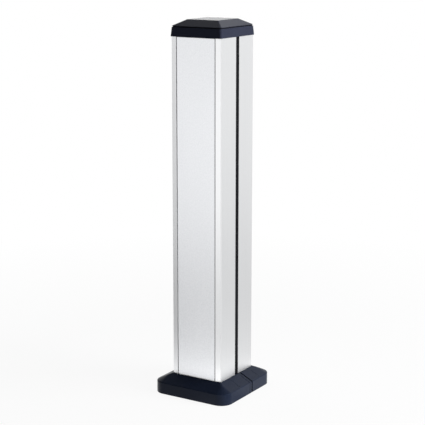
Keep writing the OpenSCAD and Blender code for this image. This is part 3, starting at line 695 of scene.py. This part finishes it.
def threadRings(radius, depth, pitch, low, high,
                steps=threadPlan["steps"], perTurn=threadPlan["perTurn"]):
    rings = []
    point, flat = threadPlan["point"], threadPlan["flat"]
    count = max(2, round((high - low) / pitch * perTurn))
    for i in range(count + 1):
        z = low + (high - low) * i / count
        fade = max(0, min(1, (z - low) / pitch, (high - z) / pitch * 2))  # runs out towards both ends
        taper = min(1, point + (1 - point) * (z - low) / pitch)
        ring = []
        for angle in circleSteps(steps):
            wave = abs(((z / pitch - angle / (2 * math.pi)) % 1) * 2 - 1)
            r = (radius - depth * (1 - max(0, (1 + flat) * wave - flat)) * fade) * taper
            ring.append((r * math.cos(angle), r * math.sin(angle), z))
        rings.append(ring)
    return rings


def ringOf(radius, z, steps=threadPlan["steps"], lobe=0.0, lobes=6):  # a circle or a soft star
    spokes = [(angle, radius + lobe * math.cos(lobes * angle)) for angle in circleSteps(steps)]
    return [(r * math.cos(angle), r * math.sin(angle), z) for angle, r in spokes]


def movedRings(rings, move):
    return [[move @ Vector(point) for point in ring] for ring in rings]


headPlan = {
    "sunkEdge": [(0.15, -0.15), (0, -0.05), (0.1, 0)],  # inwards from the head's radius, and its height
    "panEdge": [(0.3, 0), (0, 0.25)],
    "domeShares": [(1, 0.35), (0.95, 0.66), (0.78, 0.86)],  # of the head's radius and height
    "dish": 0.12, "dishOut": 0.35, "dishUp": 0.06,  # the pan head's face lies in a shallow dish
    "lobeShare": 0.13, "socketEdge": 0.12, "socketFall": 0.15,
    "floorShare": 0.93, "pitShare": 0.4, "pit": 0.3,  # bottom of the socket
}


def screwBody(plan):  # +Z points out of the head, from a pan head's seat or a sunk head's face
    head, rise = plan["headRadius"], plan["headHeight"]
    socket, deep = plan["socket"], plan["socketDepth"]
    lobe = socket * headPlan["lobeShare"]
    if plan["sink"]:
        face = 0
        profile = [(head - inward, z) for inward, z in headPlan["sunkEdge"]]
    else:
        face = rise - headPlan["dish"]
        profile = [(head - inward, z) for inward, z in headPlan["panEdge"]]
        profile += [(head * out, rise * up) for out, up in headPlan["domeShares"]]
        profile.append((socket + lobe + headPlan["dishOut"], face + headPlan["dishUp"]))
    rings = threadRings(plan["shankRadius"], plan["threadDepth"], plan["pitch"],
                        -plan["length"], -plan["sink"])
    rings += [ringOf(radius, z) for radius, z in profile]
    rings.append(ringOf(socket + headPlan["socketEdge"], face, lobe=lobe))
    rings.append(ringOf(socket, face - headPlan["socketFall"], lobe=lobe))
    rings.append(ringOf(socket * headPlan["floorShare"], face - deep, lobe=lobe))
    rings.append(ringOf(socket * headPlan["pitShare"], face - deep - headPlan["pit"]))
    return rings


screwSpots = {
    "portAcross": 46, "portOut": 34,  # the column's four screw ports
    "carrierFloor": 673, "plateUnderside": 2,
    "clampAcross": 23.5, "clampOut": 4.2, "frontClampUp": 116, "rearClampUp": 140,
    "driveTurn": 0.35,  # radians between the sockets of one screw and the next
}
screwPlans = {
    "cap_carrier_screws": {
        "headRadius": 4, "headHeight": 2.6, "sink": 0, "shankRadius": 2.25, "length": 21,
        "threadDepth": 0.45, "pitch": 1.6, "socket": 1.5, "socketDepth": 1.5,
    },
    "column_screws": {
        "headRadius": 4, "headHeight": 0, "sink": 1.75, "shankRadius": 2.25, "length": 22,
        "threadDepth": 0.45, "pitch": 1.6, "socket": 1.5, "socketDepth": 1.3,
    },
    "clamp_screws": {
        "headRadius": 3.5, "headHeight": 2.4, "sink": 0, "shankRadius": 1.95, "length": 7.4,
        "threadDepth": 0.35, "pitch": 1.2, "socket": 1.45, "socketDepth": 1.3,
    },
}


def tilted(place, angle):  # a place whose +Z leans over about the X axis
    return Matrix.Translation(place) @ Matrix.Rotation(angle, 4, "X")


def portPlaces(z, angle):  # in line with the column's screw ports
    across, out = screwSpots["portAcross"], screwSpots["portOut"]
    return [tilted((sx * across, sy * out, z), angle) for sx in (1, -1) for sy in (1, -1)]


def clampPlaces():
    across, out = screwSpots["clampAcross"], screwSpots["clampOut"]
    sides = ((-1, screwSpots["frontClampUp"]), (1, screwSpots["rearClampUp"]))
    return [tilted((sx * across, sy * out, z), -sy * math.pi / 2) for sx in (1, -1) for sy, z in sides]


screwPlaces = {
    "cap_carrier_screws": portPlaces(screwSpots["carrierFloor"], 0),
    "column_screws": portPlaces(screwSpots["plateUnderside"], math.pi),
    "clamp_screws": clampPlaces(),
}
for node, plan in screwPlans.items():
    form = bmesh.new()
    for count, place in enumerate(screwPlaces[node]):
        turned = place @ Matrix.Rotation(screwSpots["driveTurn"] * count, 4, "Z")
        closedSkin(form, movedRings(screwBody(plan), turned))
    addPiece(node.replace("_screws", "_screw_set"), form, "column", node, screwFinish)
print("screws made")

earthPlan = {
    "z": 70, "seat": 2.8, "past": 2, "steps": 48,
    "flats": 4.0, "headHeight": 3.5, "nutHeight": 4,
    "bevelShare": 0.96, "bevelGrowth": 0.195, "bevelSteps": 4, "bevelRise": 0.1,  # chamfered hexagon
    "shankRadius": 2.45, "pitch": 0.8, "threadDepth": 0.35, "ringsPerTurn": 8, "rodSunk": 0.1,
    "boreGap": 0.05, "boreBevel": 0.5,
    "washerInner": 1.2, "washerThick": 0.8, "washerRadius": 5.5, "discThick": 0.4,
    "teeth": 12, "toothRoot": 4.1, "toothGap": 0.15, "toothSteps": 8, "toothWide": 4, "toothTwist": 0.38,
}


def hexRing(plan, limit, z):  # a hexagon whose corners are cut at a limit radius
    ring = []
    for angle in circleSteps(plan["steps"]):
        r = min(plan["flats"] / math.cos((angle % (math.pi / 3)) - math.pi / 6), limit)
        ring.append((r * math.cos(angle), r * math.sin(angle), z))
    return ring


def hexSide(plan, height, bevelLow, bevelHigh):
    steps, rise = plan["bevelSteps"], plan["bevelRise"]
    limits = [plan["flats"] * (plan["bevelShare"] + plan["bevelGrowth"] * k / steps)
              for k in range(steps + 1)]
    lowRings = [hexRing(plan, limit if bevelLow else math.inf, rise * k)
                for k, limit in enumerate(limits)]
    highRings = [hexRing(plan, limit if bevelHigh else math.inf, height - rise * k)
                 for k, limit in enumerate(limits)]
    return lowRings + highRings[::-1]


def makeEarthBolt(plan):
    outFront = tilted((0, -plan["seat"], plan["z"]), math.pi / 2)
    rodEnd = -2 * plan["seat"] - plan["nutHeight"] - plan["past"]
    rod = threadRings(plan["shankRadius"], plan["threadDepth"], plan["pitch"], rodEnd, plan["rodSunk"],
                      plan["steps"], plan["ringsPerTurn"])
    form = bmesh.new()
    closedSkin(form, movedRings(hexSide(plan, plan["headHeight"], False, True), outFront))
    closedSkin(form, movedRings(rod, outFront))
    addPiece("earth_bolt_body", form, "column", "earth_bolt", screwFinish)


def makeEarthNut(plan):
    outRear = tilted((0, plan["seat"], plan["z"]), -math.pi / 2)
    bore, bevel, high = plan["shankRadius"] + plan["boreGap"], plan["boreBevel"], plan["nutHeight"]
    boreLine = ((bore + bevel, high), (bore, high - bevel), (bore, bevel), (bore + bevel, 0))
    rings = hexSide(plan, high, True, True) + [ringOf(r, z, plan["steps"]) for r, z in boreLine]
    form = bmesh.new()
    skinGrid(form, movedRings(rings, outRear), wrapRows=True, wrapColumns=True)
    addPiece("earth_nut_body", form, "column", "earth_nut", screwFinish)


def makeToothWashers(plan):
    form = bmesh.new()
    bore, root, wide = plan["shankRadius"] + plan["boreGap"], plan["toothRoot"], plan["toothWide"]
    middle = plan["washerInner"] + plan["washerThick"] / 2
    for out in (-1, 1):
        rings = []
        # None marks the toothed rim
        for radius, face in ((bore, 1), (root, 1), (None, 1), (None, 0), (root, 0), (bore, 0)):
            ring = []
            for k, angle in enumerate(circleSteps(plan["teeth"] * plan["toothSteps"])):
                at = k % plan["toothSteps"]
                r = radius or (plan["washerRadius"] if at <= wide else root + plan["toothGap"])
                twist = 0 if radius or at > wide else (at / wide - 0.5) * plan["toothTwist"]
                y = out * (middle + plan["discThick"] * (face - 0.5) + twist)
                ring.append((r * math.cos(angle), y, plan["z"] + r * math.sin(angle)))
            rings.append(ring)
        skinGrid(form, rings, wrapRows=True, wrapColumns=True)
    addPiece("earth_tooth_washers", form, "column", "earth_washers", screwFinish)


makeEarthBolt(earthPlan)
makeEarthNut(earthPlan)
makeToothWashers(earthPlan)
print("earth terminal made")

stagePlan = {  # metres; a fade gives levels by direction, a reach gives them by distance
    "radii": (0.3, 1.5, 6.0), "steps": 64,
    "colour": (0.9, 0.9, 0.9, 1),
    "bounce": 0.1,  # how pale the floor is for the light that it sends up
    "shadowShare": 0.08,  # how much of the floor's look comes from the light on it
    "shadowRadius": 1.3, "shadowReach": [(0.35, 1), (1.0, 0)],
    "shine": 1.36,  # how bright the floor looks in a gloss, at 1 on the two ramps of shine
    "frontShine": [(0.0, 1.05), (0.028, 1.05), (0.036, 0.66), (0.05, 0.64), (0.085, 0.54), (0.13, 0.55),
                   (0.18, 0.72), (0.27, 1.04), (0.38, 1.17), (0.55, 0.97), (1.0, 0.94)],
    "rearShine": [(0.0, 0.95), (0.028, 0.95), (0.036, 0.65), (0.05, 0.64), (0.085, 0.605), (0.13, 0.574),
                  (0.18, 0.605), (0.27, 0.652), (0.38, 0.683), (0.55, 0.713), (1.0, 0.75)],
    "rearWay": (0.53, 0.848, 0), "rearFade": [(0.1, 0), (0.5, 1)],
    "besideFade": [(0.3, 1), (0.7, 0)],
    "besideShine": 0.56,  # the level that takes over on the floor's two sides
    "left": {  # a wedge that is dimmed
        "way": (-0.927, -0.375, 0), "fade": [(0.84, 0), (0.965, 1)],
        "reach": [(0.03, 0), (0.08, 0.85), (0.35, 0.85), (0.5, 1)],
    },
    "leftDim": 0.64,
    "corner": {  # a wedge that glares
        "way": (0.961, -0.276, 0), "fade": [(0.955, 0), (0.985, 1)], "reach": [(0.04, 0), (0.1, 1)],
    },
    "cornerShine": 1.3,
    "foot": {  # a glare close to the foot of the column
        "way": (0.53, -0.848, 0), "fade": [(0.85, 0), (0.96, 1)], "reach": [(0.03, 1), (0.037, 0)],
    },
    "footShine": 1.9,
}


def floorMesh(plan):
    form = bmesh.new()
    rings = [[(radius / mm * math.cos(angle), radius / mm * math.sin(angle), 0)
              for angle in circleSteps(plan["steps"])] for radius in plan["radii"]]
    grid = skinGrid(form, rings, wrapColumns=True)
    form.faces.new(grid[0])
    bmesh.ops.recalc_face_normals(form, faces=form.faces)
    if form.faces[0].normal.z < 0:
        bmesh.ops.reverse_faces(form, faces=form.faces)
    mesh = bpy.data.meshes.new("floor")
    form.to_mesh(mesh)
    form.free()
    return mesh


def floorPaint(plan):
    material, p = newPaint("floor_white")
    place = p.place()
    far = p.add("ShaderNodeVectorMath", {"operation": "LENGTH"}, {0: place}, out="Value")
    way = p.add("ShaderNodeVectorMath", {"operation": "NORMALIZE"}, {0: place})
    distance = far / plan["radii"][-1]

    def wedge(part):  # 1 in one direction and at one distance from the column
        return p.ramp(p.along(way, part["way"]), part["fade"]) * p.ramp(distance, part["reach"])

    def glow(colour, strength):
        return p.add("ShaderNodeEmission", sockets={"Color": colour, "Strength": strength})

    toRear = p.along(way, plan["rearWay"])
    rear = p.ramp(toRear, plan["rearFade"])
    shine = p.blend(rear, p.ramp(distance, plan["frontShine"]), p.ramp(distance, plan["rearShine"]))
    shine = p.blend(wedge(plan["left"]) * plan["leftDim"], shine, grey(0))
    beside = p.ramp(p.add("ShaderNodeMath", {"operation": "ABSOLUTE"}, {0: toRear}), plan["besideFade"])
    shine = p.blend(beside, shine, grey(plan["besideShine"]))
    shiny = glow(shine, plan["shine"])
    shiny = p.layer(wedge(plan["corner"]), shiny, glow(white, plan["cornerShine"]))
    shiny = p.layer(wedge(plan["foot"]), shiny, glow(white, plan["footShine"]))

    fade = p.ramp(far / plan["shadowRadius"], plan["shadowReach"]) * plan["shadowShare"]
    seen = p.raysSeen(["Is Camera Ray", "Is Transmission Ray"])
    mirrored = p.raysSeen(["Is Glossy Ray"])
    lit = p.add("ShaderNodeBsdfDiffuse", sockets={"Color": plan["colour"]})
    dull = p.add("ShaderNodeBsdfDiffuse", sockets={"Color": grey(plan["bounce"])})
    mixed = p.layer(seen * (1 - fade), p.layer(seen, dull, lit), glow(white, 1.0))
    mixed = p.layer(mirrored, mixed, shiny)
    under = p.add("ShaderNodeNewGeometry", out="Backfacing")
    mixed = p.layer(under, mixed, p.add("ShaderNodeBsdfTransparent"))
    p.add("ShaderNodeOutputMaterial", sockets={"Surface": mixed})
    return material


def addFloor(plan):
    mesh = floorMesh(plan)
    mesh.materials.append(floorPaint(plan))
    floor = bpy.data.objects.new("floor", mesh)
    bpy.context.scene.collection.objects.link(floor)


addFloor(stagePlan)

lampPlan = {
    "world": (0.94, 0.97, 1.0, 1),
    "worldLevel": 0.12,
    # what a gloss shows of the studio, by how steeply it looks up
    "gloss": [(0.22, 1.0), (0.45, 1.1), (0.52, 1.8), (0.6, 1.5), (0.72, 0.03)],
    "darkWay": (-0.45, -0.89, 0),  # the unlit part of the studio
    "darkFade": [(0.0, 0), (0.35, 1)], "darkRise": [(0.2, 0), (0.42, 1)], "darkLevel": 0.03,
    "aim": (0, 0, 0.35),
    "lamps": [  # name, place, size, power, colour
        ("right_lamp", (2.3, 0.55, 0.75), (1.6, 1.4), 106, (1, 1, 1)),
        ("front_lamp", (0.65, -1.1, 0.08), (0.8, 0.14), 3.8, (1, 1, 1)),
        ("left_lamp", (-2.2, 0.6, 1.2), (1.4, 1.6), 12, (0.98, 0.99, 1)),
        ("top_lamp", (0.6, 0.6, 2.6), (1.6, 1.6), 3, (1, 1, 1)),
    ],
    "cardSize": (0.3, 0.3),
    "cards": [  # lamps that only a gloss shows: name, place, aim, power
        ("front_slope_card", (-0.31, 0.16, 1.163), (0, -0.047, 0.694), 0.31),
        ("right_slope_card", (-0.05, 0.50, 1.02), (0.043, 0, 0.694), 0.34),
        ("flat_top_card", (-0.311, 0.497, 0.827), (0, 0, 0.7), 0.64),
    ],
}


def addLamp(name, place, aim, size, power, colour=(1, 1, 1)):
    data = bpy.data.lights.new(name, "AREA")
    data.shape = "RECTANGLE"
    data.size, data.size_y = size
    data.energy = power
    data.color = colour
    lamp = bpy.data.objects.new(name, data)
    way = Vector(aim) - Vector(place)
    lamp.matrix_world = Matrix.Translation(place) @ way.to_track_quat("-Z", "Y").to_matrix().to_4x4()
    lamp.visible_camera = False
    bpy.context.scene.collection.objects.link(lamp)
    return lamp


def addWorld(plan):
    world = bpy.data.worlds.new("studio")
    bpy.context.scene.world = world
    world.use_nodes = True
    p = Paint(world.node_tree)

    def walls(colour, level=1.0):
        return p.add("ShaderNodeBackground", sockets={"Color": colour, "Strength": level})

    way = p.add("ShaderNodeTexCoord", out="Generated")
    height = p.along(way, (0, 0, 1))
    dark = p.ramp(p.along(way, plan["darkWay"]), plan["darkFade"]) * p.ramp(height, plan["darkRise"])
    gloss = p.blend(dark, p.ramp(height, plan["gloss"]), grey(plan["darkLevel"]))
    seen = p.raysSeen(["Is Camera Ray", "Is Transmission Ray"])
    mirrored = p.raysSeen(["Is Glossy Ray"])
    mixed = p.layer(seen, walls(plan["world"], plan["worldLevel"]), walls(white))
    mixed = p.layer(mirrored, mixed, walls(gloss))
    p.add("ShaderNodeOutputWorld", sockets={"Surface": mixed})


def addLamps(plan):
    for name, place, size, power, colour in plan["lamps"]:
        lamp = addLamp(name, place, plan["aim"], size, power, colour)
        lamp.visible_glossy = False
    for name, place, aim, power in plan["cards"]:
        card = addLamp(name, place, aim, plan["cardSize"], power)
        card.visible_diffuse = False


addWorld(lampPlan)
addLamps(lampPlan)
print("floor and light set")
